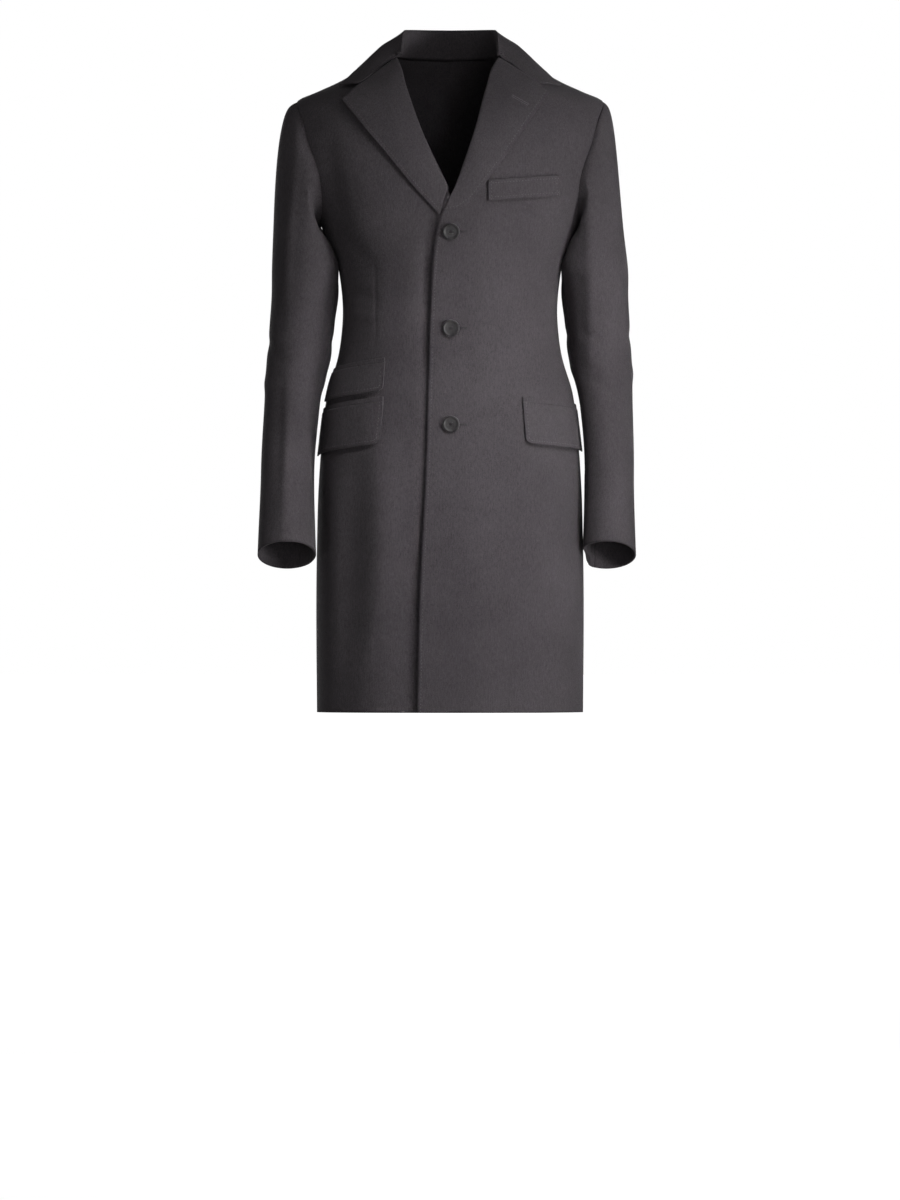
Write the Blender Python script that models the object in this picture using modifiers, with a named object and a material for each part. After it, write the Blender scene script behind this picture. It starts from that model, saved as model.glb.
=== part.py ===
"""Single-breasted wool topcoat in its worn form: thin cloth walls round an empty inside.

Metres, +Z up. The origin is between the shoulders at neck level, where the wearer carries the coat.
The front faces -Y and the wearer's left is +X. The body cloth is a stack of level slices, and a place
on it is an angle (0 at the front, 90 at the left side, 180 at the back) and a height.
"""
import math
from collections import namedtuple

import bmesh
import bpy
from mathutils import Matrix, Vector

COAT = "topcoat"
LEFT = 1
RIGHT = -1

# Cloth and seams
WALL = 0.0022
SEAM_GAP = 0.0003
LAYER_GAP = 0.0008
CLOTH_COLOUR = (0.085, 0.076, 0.083, 1.0)
CLOTH_ROUGHNESS = 0.9
BUTTON_COLOUR = (0.070, 0.066, 0.068, 1.0)
BUTTON_ROUGHNESS = 0.35
SHARP_ANGLE = 50.0
MERGE_DISTANCE = 0.00001

# Heights that the cut is set out from
HEM_Z = -0.952
ARMPIT_Z = -0.243
NECK_Z = 0.008
BACK_NECK_Z = 0.004
VENT_TOP_Z = -0.620
VENT_OVERLAP_ANGLE = 15.0
VENT_STEP = 0.012
VENT_LIFT_RUN = 0.045
VENT_LIFT_START = 0.090
VENT_LIFT_ANGLE = 166.0
VENT_LIFT_SPREAD = 12.0
SIDE_ANGLE = 100.0
BACK_SEAM_SHARE = 2.0 / 3.0
SHOULDER_LEVEL = 0.9

# Level slices of the body cloth
Slice = namedtuple("Slice", "z half_width front back squareness")
BODY = (
    Slice(-0.952, 0.1950, 0.150, 0.160, 2.5),
    Slice(-0.800, 0.1960, 0.148, 0.156, 2.5),
    Slice(-0.660, 0.1940, 0.143, 0.150, 2.5),
    Slice(-0.555, 0.1880, 0.138, 0.140, 2.5),
    Slice(-0.480, 0.1785, 0.134, 0.122, 2.4),
    Slice(-0.423, 0.1620, 0.132, 0.113, 2.4),
    Slice(-0.365, 0.1570, 0.132, 0.110, 2.4),
    Slice(-0.300, 0.1640, 0.136, 0.116, 2.4),
    Slice(-0.245, 0.1850, 0.140, 0.124, 2.4),
    Slice(-0.200, 0.2050, 0.139, 0.129, 2.4),
    Slice(-0.150, 0.2250, 0.131, 0.129, 2.4),
    Slice(-0.100, 0.2360, 0.115, 0.122, 2.4),
    Slice(-0.075, 0.2340, 0.103, 0.116, 2.3),
    Slice(-0.056, 0.2225, 0.093, 0.110, 2.3),
    Slice(-0.044, 0.1960, 0.086, 0.105, 2.3),
    Slice(-0.029, 0.1630, 0.077, 0.098, 2.2),
    Slice(-0.0146, 0.1370, 0.067, 0.089, 2.2),
    Slice(-0.006, 0.1190, 0.060, 0.082, 2.2),
    Slice(0.008, 0.0860, 0.050, 0.072, 2.2),
)

# Front edge below the break and roll line above it, as distances from the centre on each front's own side
FrontEdge = namedtuple("FrontEdge", "z left right")
FRONT_EDGE = (
    FrontEdge(-0.952, -0.0470, -0.020),
    FrontEdge(-0.800, -0.0440, -0.020),
    FrontEdge(-0.600, -0.0350, -0.020),
    FrontEdge(-0.400, -0.0290, -0.020),
    FrontEdge(-0.300, -0.0250, -0.020),
    FrontEdge(-0.245, -0.0180, -0.016),
    FrontEdge(-0.212, -0.0060, -0.006),
    FrontEdge(-0.190, 0.0070, 0.004),
    FrontEdge(-0.107, 0.0385, 0.043),
    FrontEdge(-0.035, 0.0575, 0.068),
    FrontEdge(0.000, 0.0700, 0.078),
    FrontEdge(0.008, 0.0860, 0.086),
)
OVERLAP_LIFT = WALL + 2.0 * LAYER_GAP
OVERLAP_HEM_LIFT = 0.004
OVERLAP_HEM_TOP = -0.50
OVERLAP_HEM_RUN = 0.45
OVERLAP_FADE_X = 0.078
OVERLAP_FADE = 0.044

# Armhole round from the shoulder point (phase 0) to the underarm (phase 180)
ArmholeRow = namedtuple("ArmholeRow", "phase z front_angle back_angle")
ARMHOLE = (
    ArmholeRow(0.0, -0.056, 90.0, 90.0),
    ArmholeRow(22.0, -0.066, 75.0, 107.0),
    ArmholeRow(45.0, -0.094, 63.0, 120.0),
    ArmholeRow(90.0, -0.160, 58.0, 124.0),
    ArmholeRow(135.0, -0.222, 72.0, 113.0),
    ArmholeRow(180.0, -0.243, 100.0, 100.0),
)

# Largest soft folds of the body cloth: a ridge or trough that runs from top to bottom
Fold = namedtuple("Fold", "angle z_top z_bottom half_angle height lean")
BODY_FOLDS = (
    Fold(-27.0, -0.52, -1.02, 11.0, 0.0045, -5.0),
    Fold(-44.0, -0.56, -1.02, 10.0, -0.0030, -4.0),
    Fold(36.0, -0.60, -1.02, 13.0, 0.0030, 4.0),
    Fold(128.0, -0.50, -1.02, 13.0, 0.0060, 4.0),
    Fold(150.0, -0.56, -1.02, 10.0, -0.0050, 2.0),
    Fold(-130.0, -0.50, -1.02, 14.0, 0.0060, -4.0),
    Fold(-152.0, -0.57, -1.02, 10.0, -0.0045, -2.0),
    Fold(122.0, -0.24, -0.40, 10.0, 0.0040, 8.0),
    Fold(-123.0, -0.25, -0.41, 10.0, 0.0045, -8.0),
)
FOLD_PEAK = 0.6

# Sleeve rings from the biceps to the cuff
SleeveRing = namedtuple("SleeveRing", "z centre_x centre_y half_width half_depth")
SLEEVE = (
    SleeveRing(-0.300, 0.2065, -0.004, 0.0545, 0.068),
    SleeveRing(-0.365, 0.2145, 0.002, 0.0480, 0.065),
    SleeveRing(-0.423, 0.2185, 0.002, 0.0480, 0.061),
    SleeveRing(-0.500, 0.2265, -0.010, 0.0430, 0.056),
    SleeveRing(-0.600, 0.2330, -0.030, 0.0395, 0.052),
    SleeveRing(-0.722, 0.2330, -0.056, 0.0430, 0.050),
)
ArmPose = namedtuple("ArmPose", "outward forward cap_out")
ARM_POSE = {
    LEFT: ArmPose(-0.0040, -0.014, 0.021),
    RIGHT: ArmPose(0.0050, 0.016, 0.032),
}
CAP_SHARE = 0.36
CAP_REACH = 0.036
CAP_DROP = 0.002
CAP_SPREAD = 0.012
CAP_RISE_TOP = 0.100
CAP_RISE_UNDER = 0.030
CUFF_SLANT = -0.40
SLEEVE_CLEARANCE = 0.007
UNDERARM_CLEARANCE = 0.0019
UNDERARM_START = 0.022
UNDERARM_RUN = 0.085
SLEEVE_SOFTNESS = 0.003
CUFF_SLANT_START = 0.375
FRONT_SLEEVE_SEAM = 208.0
HIND_SLEEVE_SEAM = 116.0

# Lapels: outer edge from the lower tip (share 0) to the point (share 1), and how far it stands off
LapelRow = namedtuple("LapelRow", "share x z stand_off")
LAPEL_EDGE = {
    LEFT: (
        LapelRow(0.00, -0.0095, -0.2240, 0.0004),
        LapelRow(0.10, 0.0165, -0.2190, 0.0006),
        LapelRow(0.25, 0.0480, -0.1850, 0.0010),
        LapelRow(0.50, 0.0860, -0.1340, 0.0018),
        LapelRow(0.75, 0.1165, -0.0895, 0.0028),
        LapelRow(1.00, 0.1435, -0.0505, 0.0040),
    ),
    RIGHT: (
        LapelRow(0.00, 0.0155, -0.2270, 0.0008),
        LapelRow(0.25, 0.0520, -0.1870, 0.0020),
        LapelRow(0.50, 0.0870, -0.1445, 0.0032),
        LapelRow(0.75, 0.1220, -0.1030, 0.0046),
        LapelRow(1.00, 0.1560, -0.0610, 0.0065),
    ),
}
LAPEL_ROLL_LOW = {LEFT: -0.199, RIGHT: -0.190}
LAPEL_ROLL_HIGH = 0.002
LAPEL_CLEARANCE = 0.0009
LAPEL_BELLY = 0.0030
LAPEL_BELLY_START = 0.25
HOOK_TURN = 165.0
HOOK_LOOK_AHEAD = 0.08
HOOK_COLUMNS = 3
LEAF_COLUMNS = 8
LAPEL_ROWS = 12

# Collar: roll and neck seam as points, fall edge as a place on the body, from the back to the gorge
CollarRow = namedtuple("CollarRow", "share seam_x seam_y seam_z roll_x roll_y roll_z edge_angle edge_z")
COLLAR = (
    CollarRow(0.00, 0.000, 0.0735, 0.0058, 0.000, 0.066, 0.050, 180.0, -0.013),
    CollarRow(0.25, 0.044, 0.0610, 0.0072, 0.041, 0.054, 0.050, 146.0, -0.013),
    CollarRow(0.50, 0.073, 0.0310, 0.0088, 0.064, 0.027, 0.049, 112.0, -0.010),
    CollarRow(0.66, 0.082, 0.0020, 0.0100, 0.068, 0.003, 0.046, 90.0, -0.0080),
    CollarRow(0.83, 0.081, -0.0180, 0.0110, 0.070, -0.016, 0.031, 72.0, -0.0200),
    CollarRow(1.00, 0.078, -0.0345, 0.0115, 0.0715, -0.037, 0.0105, 60.0, -0.0380),
)
COLLAR_SHARES = (0.0, 0.28, 0.40, 0.52, 0.64, 0.76, 1.0)
COLLAR_OUT = 0.0050
COLLAR_BELLY = 0.0035
ROLL_INSIDE = 0.0025
ROLL_INSIDE_DROP = 0.0070
ROLL_END_DROP = 0.0025
ROLL_OUTSIDE = 0.0060
ROLL_OUTSIDE_DROP = 0.0050
GORGE_GAP = 0.0025
GORGE_FIRST_SHARE = 0.05
GORGE_START = 0.78
NOTCH_SHARE = {LEFT: 0.80, RIGHT: 0.67}
COLLAR_COLUMNS = 28
COLLAR_ROWS = 12

# Pocket flaps, each from its front end, with the jetting along its top
Flap = namedtuple("Flap", "name side front_x front_z end_angle end_drop height front_lean")
FLAPS = (
    Flap("left_hip", LEFT, 0.1050, -0.4993, 88.0, 0.010, 0.0615, 0.0045),
    Flap("right_hip", RIGHT, 0.0964, -0.4986, 88.0, 0.017, 0.0620, 0.0036),
    Flap("ticket", RIGHT, 0.0942, -0.4420, 80.0, 0.015, 0.0415, 0.0020),
)
FLAP_CLEARANCE = 0.0014
FLAP_CURL = 0.0015
FLAP_CORNER = 0.0060
FLAP_CORNER_SHARE = 0.06
JET_HEIGHT = 0.0065
JET_WALL = 0.0014

# Breast welt: own-side distances and heights of its corners
WELT_FRONT_X = 0.0550
WELT_BACK_X = 0.1582
WELT_TOP_Z = -0.1774
WELT_HEIGHT = 0.0300
WELT_RISE = 0.0088

# Buttons
BUTTON_X = 0.0015
BUTTON_HEIGHTS = (-0.2519, -0.3927, -0.5329)
BUTTON_TILTS = (7.0, 1.0, 2.0)
BUTTON_RADIUS = 0.0125
BUTTON_THICKNESS = 0.0042
BUTTON_DISH = 0.0012
BUTTON_RIM = 0.0028
BUTTON_STAND = 0.0018
BUTTON_RIM_SLOPE = 0.0008
BUTTON_EDGE_ROUND = 0.0009
BUTTON_FOOT_ROUND = 0.0012
BUTTON_STEPS = 28
HOLE_RADIUS = 0.0010
HOLE_OFFSET = 0.0021

# Step of the shares between which a surface's slope is read
SLOPE_STEP = 0.004

# Half angle, in degrees, over which the seam gap's width is read
SEAM_LOOK = 0.02

# Half angle, in degrees, and rise between which the body cloth's direction is read
NORMAL_ANGLE = 0.4
NORMAL_RISE = 0.003

# Grid counts
PANEL_COLUMNS = 16
LOWER_ROWS = 18
UPPER_ROWS = 9
TOP_SLEEVE_COLUMNS = 15
UNDER_SLEEVE_COLUMNS = 5
SLEEVE_ROWS = 19

ARMPIT_LEVEL = LOWER_ROWS / (LOWER_ROWS + UPPER_ROWS)


def mix(first, second, share):
    """Value that lies a share of the way from the first to the second."""
    return first + (second - first) * share


def ease(share):
    """Soft step from 0 to 1."""
    share = min(max(share, 0.0), 1.0)
    return share * share * (3.0 - 2.0 * share)


def spaced(count):
    """Even shares from 0 to 1 with this many steps."""
    return [step / count for step in range(count + 1)]


def read_table(rows, at):
    """Smooth curve through the rows, whose first column rises, as a row of the same kind."""
    keys = [row[0] for row in rows]
    at = min(max(at, keys[0]), keys[-1])
    low = 0
    while low < len(rows) - 2 and at > keys[low + 1]:
        low += 1
    span = keys[low + 1] - keys[low]
    share = (at - keys[low]) / span
    values = [at]
    for column in range(1, len(rows[0])):
        ends = (rows[low][column], rows[low + 1][column])
        slopes = [table_slope(rows, low + step, column) * span for step in (0, 1)]
        rise = ends[1] - ends[0]
        cubic = slopes[0] + slopes[1] - 2.0 * rise
        square = 3.0 * rise - 2.0 * slopes[0] - slopes[1]
        values.append(ends[0] + share * (slopes[0] + share * (square + share * cubic)))
    return type(rows[0])(*values)


def table_slope(rows, index, column):
    """Slope of a table's column at one row, flat where the column turns."""
    last = len(rows) - 1
    steps = []
    for low in (max(index - 1, 0), min(index, last - 1)):
        steps.append((rows[low + 1][column] - rows[low][column]) / (rows[low + 1][0] - rows[low][0]))
    if steps[0] * steps[1] <= 0.0:
        return 0.0
    return 2.0 * steps[0] * steps[1] / (steps[0] + steps[1])


def signed_power(value, power):
    """Power of a number's size that keeps its sign."""
    return math.copysign(abs(value) ** power, value)


def bare_body(angle, z):
    """Point on the plain slices at an angle in degrees and a height."""
    row = read_table(BODY, z)
    turn = math.radians(angle)
    power = 2.0 / row.squareness
    depth = row.front if math.cos(turn) > 0.0 else row.back
    x = row.half_width * signed_power(math.sin(turn), power)
    return Vector((x, -depth * signed_power(math.cos(turn), power), z))


def body_normal(angle, z):
    """Outward direction of the body cloth."""
    across = bare_body(angle + NORMAL_ANGLE, z) - bare_body(angle - NORMAL_ANGLE, z)
    top = min(z + 0.5 * NORMAL_RISE, NECK_Z)
    up = bare_body(angle, top) - bare_body(angle, top - NORMAL_RISE)
    return across.cross(up).normalized()


def fold_height(angle, z):
    """Height of the soft folds at a place on the body cloth."""
    height = 0.0
    for fold in BODY_FOLDS:
        share = (fold.z_top - z) / (fold.z_top - fold.z_bottom)
        if 0.0 < share < 1.0:
            away = (angle - fold.angle - fold.lean * share) / fold.half_angle
            height += fold.height * math.exp(-away * away) * math.sin(math.pi * share ** FOLD_PEAK)
    return height


def body_point(angle, z, out=0.0):
    """Point on the body cloth's outer face, moved out by a distance."""
    turned = (angle + 180.0) % 360.0 - 180.0
    return bare_body(angle, z) + body_normal(angle, z) * (out + fold_height(turned, z))


def angle_at(x, z):
    """Angle of the front of the body cloth at a distance from the centre line."""
    row = read_table(BODY, z)
    ratio = min(abs(x) / row.half_width, 1.0)
    return math.copysign(math.degrees(math.asin(ratio ** (row.squareness / 2.0))), x)


def body_half_width(y, z):
    """Half width of the body at a depth and height."""
    row = read_table(BODY, z)
    depth = row.front if y < 0.0 else row.back
    ratio = min(abs(y) / depth, 1.0)
    return row.half_width * (1.0 - ratio ** row.squareness) ** (1.0 / row.squareness)


def armhole_place(phase, back):
    """Angle and height on the armhole at a phase from its top, on its front or back half."""
    row = read_table(ARMHOLE, phase)
    return (row.back_angle if back else row.front_angle), row.z


def outer_edge(level, back):
    """Angle and height on a panel's side seam and armhole."""
    if level <= ARMPIT_LEVEL:
        return SIDE_ANGLE, mix(HEM_Z, ARMPIT_Z, level / ARMPIT_LEVEL)
    share = (level - ARMPIT_LEVEL) / (1.0 - ARMPIT_LEVEL)
    return armhole_place(180.0 * (1.0 - share), back)


def inner_height(level):
    """Height on a panel's inner edge, from the hem to the neck."""
    if level <= ARMPIT_LEVEL:
        return mix(HEM_Z, ARMPIT_Z, level / ARMPIT_LEVEL)
    return mix(ARMPIT_Z, NECK_Z, (level - ARMPIT_LEVEL) / (1.0 - ARMPIT_LEVEL))


def front_edge_x(side, z):
    """Own-side distance of a front's inner edge from the centre line."""
    row = read_table(FRONT_EDGE, z)
    return row.left if side == LEFT else row.right


def overlap_lift(side, angle, z):
    """How far the left front stands over the right one along the button stand."""
    if side == RIGHT:
        return 0.0
    x = bare_body(angle, z).x
    lift = OVERLAP_LIFT + OVERLAP_HEM_LIFT * ease((OVERLAP_HEM_TOP - z) / OVERLAP_HEM_RUN)
    return lift * ease((OVERLAP_FADE_X - x) / OVERLAP_FADE)


def front_place(side, across, level):
    """Angle and height on a front, on its own side, with the seam gap taken off."""
    inner_z = inner_height(level)
    inner_angle = angle_at(front_edge_x(side, inner_z), inner_z)
    if level >= 1.0:
        inner_angle = 90.0
    outer_angle, outer_z = outer_edge(level, back=False)
    angle = mix(inner_angle, outer_angle, across)
    z = mix(inner_z, outer_z, across)
    seam = seam_angle(angle, z) * max(across, ease((level - SHOULDER_LEVEL) / (1.0 - SHOULDER_LEVEL)))
    return angle - seam, z


def seam_angle(angle, z):
    """Half of the seam gap as an angle at a place on the body cloth."""
    chord = (bare_body(angle + SEAM_LOOK, z) - bare_body(angle - SEAM_LOOK, z)).length
    return SEAM_GAP * SEAM_LOOK / chord


def back_place(side, across, level):
    """Angle and height on a back, from the centre seam to the side seam, on its own side."""
    inner_z = inner_height(level)
    neck_share = 0.0
    if level > ARMPIT_LEVEL:
        rise = (level - ARMPIT_LEVEL) / (1.0 - ARMPIT_LEVEL)
        inner_z = mix(ARMPIT_Z, BACK_NECK_Z, min(rise / BACK_SEAM_SHARE, 1.0))
        neck_share = max(rise - BACK_SEAM_SHARE, 0.0) / (1.0 - BACK_SEAM_SHARE)
        inner_z = mix(inner_z, NECK_Z, neck_share)
    inner_angle = mix(180.0, 90.0, neck_share)
    outer_angle, outer_z = outer_edge(level, back=True)
    if side == LEFT and inner_z < VENT_TOP_Z:
        inner_angle += VENT_OVERLAP_ANGLE * ease((VENT_TOP_Z - inner_z) / VENT_STEP)
    angle = mix(inner_angle, outer_angle, across)
    z = mix(inner_z, outer_z, across)
    seam = seam_angle(angle, z)
    return angle + seam * (max(across, neck_share) - (1.0 - across) * (1.0 - neck_share)), z


def vent_lift(side, angle, z):
    """How far the left back stands over the right one along the vent."""
    if side == RIGHT:
        return 0.0
    lift = OVERLAP_LIFT * ease((VENT_TOP_Z + VENT_LIFT_START - z) / VENT_LIFT_RUN)
    return lift * ease((angle - VENT_LIFT_ANGLE) / VENT_LIFT_SPREAD)


def cloth_material(name, colour, roughness):
    """Plain material with one colour."""
    material = bpy.data.materials.new(name)
    material.use_nodes = True
    shader = material.node_tree.nodes["Principled BSDF"]
    shader.inputs["Base Color"].default_value = colour
    shader.inputs["Roughness"].default_value = roughness
    shader.inputs["Metallic"].default_value = 0.0
    material.diffuse_color = colour
    return material


def add_object(name, mesh, collection, material):
    """Place a finished mesh in the coat's collection."""
    mesh.materials.append(material)
    mesh.shade_smooth()
    mesh.set_sharp_from_angle(angle=math.radians(SHARP_ANGLE))
    piece = bpy.data.objects.new(name, mesh)
    collection.objects.link(piece)
    return piece


def cloth_wall(name, surface, columns, rows, collection, wall=WALL):
    """Closed wall of cloth: an outer grid from the surface function and an inner one behind it.

    The function takes two shares and gives the outer point and the outward direction.
    """
    mesh_data = bmesh.new()
    bmesh.ops.create_grid(mesh_data, x_segments=len(columns) - 1, y_segments=len(rows) - 1, size=1.0)
    outer = list(mesh_data.verts)
    doubled = bmesh.ops.extrude_face_region(mesh_data, geom=list(mesh_data.faces), use_keep_orig=True)
    inner = [item for item in doubled["geom"] if isinstance(item, bmesh.types.BMVert)]
    for verts, depth in ((outer, 0.0), (inner, wall)):
        for vert in verts:
            column = round((vert.co.x + 1.0) / 2.0 * (len(columns) - 1))
            row = round((vert.co.y + 1.0) / 2.0 * (len(rows) - 1))
            point, normal = surface(columns[column], rows[row])
            vert.co = point - normal * depth
    bmesh.ops.recalc_face_normals(mesh_data, faces=list(mesh_data.faces))
    mesh = bpy.data.meshes.new(name)
    mesh_data.to_mesh(mesh)
    mesh_data.free()
    return add_object(name, mesh, collection, cloth_material(name, CLOTH_COLOUR, CLOTH_ROUGHNESS))


def panel_levels(extra_heights):
    """Levels of a panel's rows, with more rows at the heights asked for."""
    levels = set(spaced(LOWER_ROWS + UPPER_ROWS))
    for z in extra_heights:
        levels.add(ARMPIT_LEVEL * (z - HEM_Z) / (ARMPIT_Z - HEM_Z))
    return sorted(levels)


def build_front(side, name, collection):
    """One front, from its edge and roll line to the side seam, armhole and shoulder."""
    def surface(across, level):
        angle, z = front_place(side, across, level)
        out = overlap_lift(side, angle, z)
        return body_point(side * angle, z, out), body_normal(side * angle, z)
    cloth_wall(name, surface, spaced(PANEL_COLUMNS), panel_levels([]), collection)


def build_back(side, name, collection):
    """One back, from the centre seam to the side seam, armhole, shoulder and neck."""
    def surface(across, level):
        angle, z = back_place(side, across, level)
        out = vent_lift(side, angle, z)
        return body_point(side * angle, z, out), body_normal(side * angle, z)
    vent_heights = [VENT_TOP_Z - VENT_STEP * share for share in spaced(2)] if side == LEFT else []
    cloth_wall(name, surface, spaced(PANEL_COLUMNS), panel_levels(vent_heights), collection)


def sleeve_ring(pose, phase, z):
    """Point on the sleeve below the biceps, on its own side."""
    ring = read_table(tuple(reversed(SLEEVE)), z)
    lower = ease((SLEEVE[0].z - z) / (SLEEVE[0].z - SLEEVE[-1].z))
    turn = math.radians(phase)
    x = ring.centre_x + pose.outward * lower + ring.half_width * math.cos(turn)
    y = ring.centre_y - pose.forward * lower + ring.half_depth * math.sin(turn)
    slant = CUFF_SLANT * ease((lower - CUFF_SLANT_START) / (1.0 - CUFF_SLANT_START))
    return Vector((x, y, z + slant * ring.half_depth * math.sin(turn)))


def sleeve_cap(pose, phase, share):
    """Point on the sleeve between the armhole and the biceps, on its own side."""
    turn = math.radians(phase)
    back = phase <= 180.0
    angle, z = armhole_place(phase if back else 360.0 - phase, back)
    start = body_point(angle, z) + Vector((SEAM_GAP, 0.0, 0.0))
    end = sleeve_ring(pose, phase, SLEEVE[0].z)
    top = 0.5 + 0.5 * math.cos(turn)
    leave = start + Vector((pose.cap_out, CAP_SPREAD * math.sin(turn), -CAP_DROP * top))
    inward = (CAP_REACH - pose.cap_out) * top * top
    arrive = end + Vector((-inward, 0.0, mix(CAP_RISE_UNDER, CAP_RISE_TOP, top)))
    rest = 1.0 - share
    weights = (rest ** 3, 3.0 * rest * rest * share, 3.0 * rest * share * share, share ** 3)
    point = Vector()
    for weight, knot in zip(weights, (start, leave, arrive, end)):
        point += weight * knot
    return point


def sleeve_point(pose, phase, along):
    """Point on the whole sleeve, on its own side and clear of the body."""
    if along <= CAP_SHARE:
        point = sleeve_cap(pose, phase, along / CAP_SHARE)
    else:
        share = (along - CAP_SHARE) / (1.0 - CAP_SHARE)
        point = sleeve_ring(pose, phase, mix(SLEEVE[0].z, SLEEVE[-1].z, share))
    if point.z < ARMPIT_Z:
        below = (ARMPIT_Z - point.z) / UNDERARM_RUN
        near = ease((ARMPIT_Z - point.z) / UNDERARM_START)
        clearance = UNDERARM_CLEARANCE * near + SLEEVE_CLEARANCE * ease(below - 1.0)
        limit = body_half_width(point.y, point.z) + clearance
        over = point.x - limit
        point.x = limit + 0.5 * (over + math.hypot(over, SLEEVE_SOFTNESS * ease(below)))
    return point


def sleeve_normal(pose, phase, along):
    """Outward direction of the sleeve, on its own side."""
    low = max(along - SLOPE_STEP, 0.0)
    high = min(along + SLOPE_STEP, 1.0)
    down = sleeve_point(pose, phase, high) - sleeve_point(pose, phase, low)
    around = sleeve_point(pose, phase + 1.0, along) - sleeve_point(pose, (phase - 1.0) % 360.0, along)
    return down.cross(around).normalized()


def build_sleeve_piece(side, name, first_phase, last_phase, columns, collection):
    """One piece of a two-piece sleeve between two seams."""
    pose = ARM_POSE[side]
    mirror = Vector((side, 1.0, 1.0))

    def surface(around, along):
        gap = math.degrees(SEAM_GAP / SLEEVE[0].half_width)
        phase = mix(first_phase + gap, last_phase - gap, around) % 360.0
        point = sleeve_point(pose, phase, along)
        return point * mirror, sleeve_normal(pose, phase, along) * mirror
    cloth_wall(name, surface, spaced(columns), spaced(SLEEVE_ROWS), collection)


def front_point(side, x, z, out):
    """Point over a front at an own-side distance from the centre, and the direction out of the cloth."""
    angle = angle_at(x, z)
    lift = overlap_lift(side, angle, z)
    return body_point(side * angle, z, out + lift), body_normal(side * angle, z)


def lapel_leaf(side, across, up, lift=0.0):
    """Point on a lapel's leaf, raised along the chest by a lift, and the direction out of the cloth."""
    roll_z = mix(LAPEL_ROLL_LOW[side], LAPEL_ROLL_HIGH, up)
    edge = read_table(LAPEL_EDGE[side], up)
    x = mix(front_edge_x(side, roll_z), edge.x, across)
    z = mix(roll_z, edge.z, across) + lift
    belly = LAPEL_BELLY * 4.0 * across * (1.0 - across) * ease(up / LAPEL_BELLY_START)
    out = WALL + LAPEL_CLEARANCE + belly + edge.stand_off * across * across
    return front_point(side, x, z, out)


def build_lapel(side, name, collection):
    """One lapel: a rolled edge round the front's roll line, and the leaf that lies on the chest."""
    hook_radius = 1.5 * WALL + LAPEL_CLEARANCE

    def surface(across, up):
        if across >= 0.0:
            return lapel_leaf(side, across, up)
        start, normal = lapel_leaf(side, 0.0, up)
        away = lapel_leaf(side, HOOK_LOOK_AHEAD, up)[0] - start
        away = (away - normal * away.dot(normal)).normalized()
        turn = math.radians(-across * HOOK_TURN)
        direction = normal * math.cos(turn) - away * math.sin(turn)
        return start - normal * hook_radius + direction * hook_radius, direction
    hook = [-1.0 + step / HOOK_COLUMNS for step in range(HOOK_COLUMNS)]
    cloth_wall(name, surface, hook + spaced(LEAF_COLUMNS), spaced(LAPEL_ROWS), collection)


CollarKnot = namedtuple("CollarKnot", "across x y z")


def gorge_point(side, across):
    """Point just above a lapel's top edge, on its own side."""
    point = lapel_leaf(side, across, 1.0, GORGE_GAP)[0]
    return Vector((abs(point.x), point.y, point.z))


def collar_point(place, across):
    """Point on the collar.

    Place runs round the neck from the right gorge (-1) to the left one (1).
    Across runs from the neck seam to the edge of the fall.
    """
    side = LEFT if place >= 0.0 else RIGHT
    row = read_table(COLLAR, abs(place))
    near_gorge = ease((abs(place) - GORGE_START) / (1.0 - GORGE_START))
    up = Vector((0.0, 0.0, 1.0))
    seam = Vector((row.seam_x, row.seam_y, row.seam_z))
    roll = Vector((row.roll_x, row.roll_y, row.roll_z))
    edge = body_point(row.edge_angle, row.edge_z, COLLAR_OUT)
    away = Vector((edge.x - roll.x, edge.y - roll.y, 0.0)).normalized()
    inside = roll - away * ROLL_INSIDE - up * mix(ROLL_INSIDE_DROP, ROLL_END_DROP, near_gorge)
    outside = roll + away * ROLL_OUTSIDE - up * ROLL_OUTSIDE_DROP
    outside = outside.lerp(gorge_point(side, GORGE_FIRST_SHARE), near_gorge)
    middle = roll.lerp(edge, 0.5) + (away + up) * COLLAR_BELLY
    middle = middle.lerp(gorge_point(side, NOTCH_SHARE[side]), near_gorge)
    halfway = outside.lerp(middle, 0.5)
    halfway = halfway.lerp(gorge_point(side, NOTCH_SHARE[side] * 0.5), near_gorge)
    points = (seam, inside, roll, outside, halfway, middle, edge)
    knots = [CollarKnot(share, *point) for share, point in zip(COLLAR_SHARES, points)]
    point = read_table(knots, across)
    return Vector((side * point.x, point.y, point.z))


def build_collar(collection):
    """The collar: a stand that rises from the neck seam, rolls over and falls on the shoulders."""
    def surface(along, across):
        place = 2.0 * along - 1.0
        low = max(across - SLOPE_STEP, 0.0)
        high = min(across + SLOPE_STEP, 1.0)
        first = max(place - SLOPE_STEP, -1.0)
        last = min(place + SLOPE_STEP, 1.0)
        over = collar_point(place, high) - collar_point(place, low)
        round_neck = collar_point(last, across) - collar_point(first, across)
        return collar_point(place, across), round_neck.cross(over).normalized()
    cloth_wall("collar", surface, spaced(COLLAR_COLUMNS), spaced(COLLAR_ROWS), collection)


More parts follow.
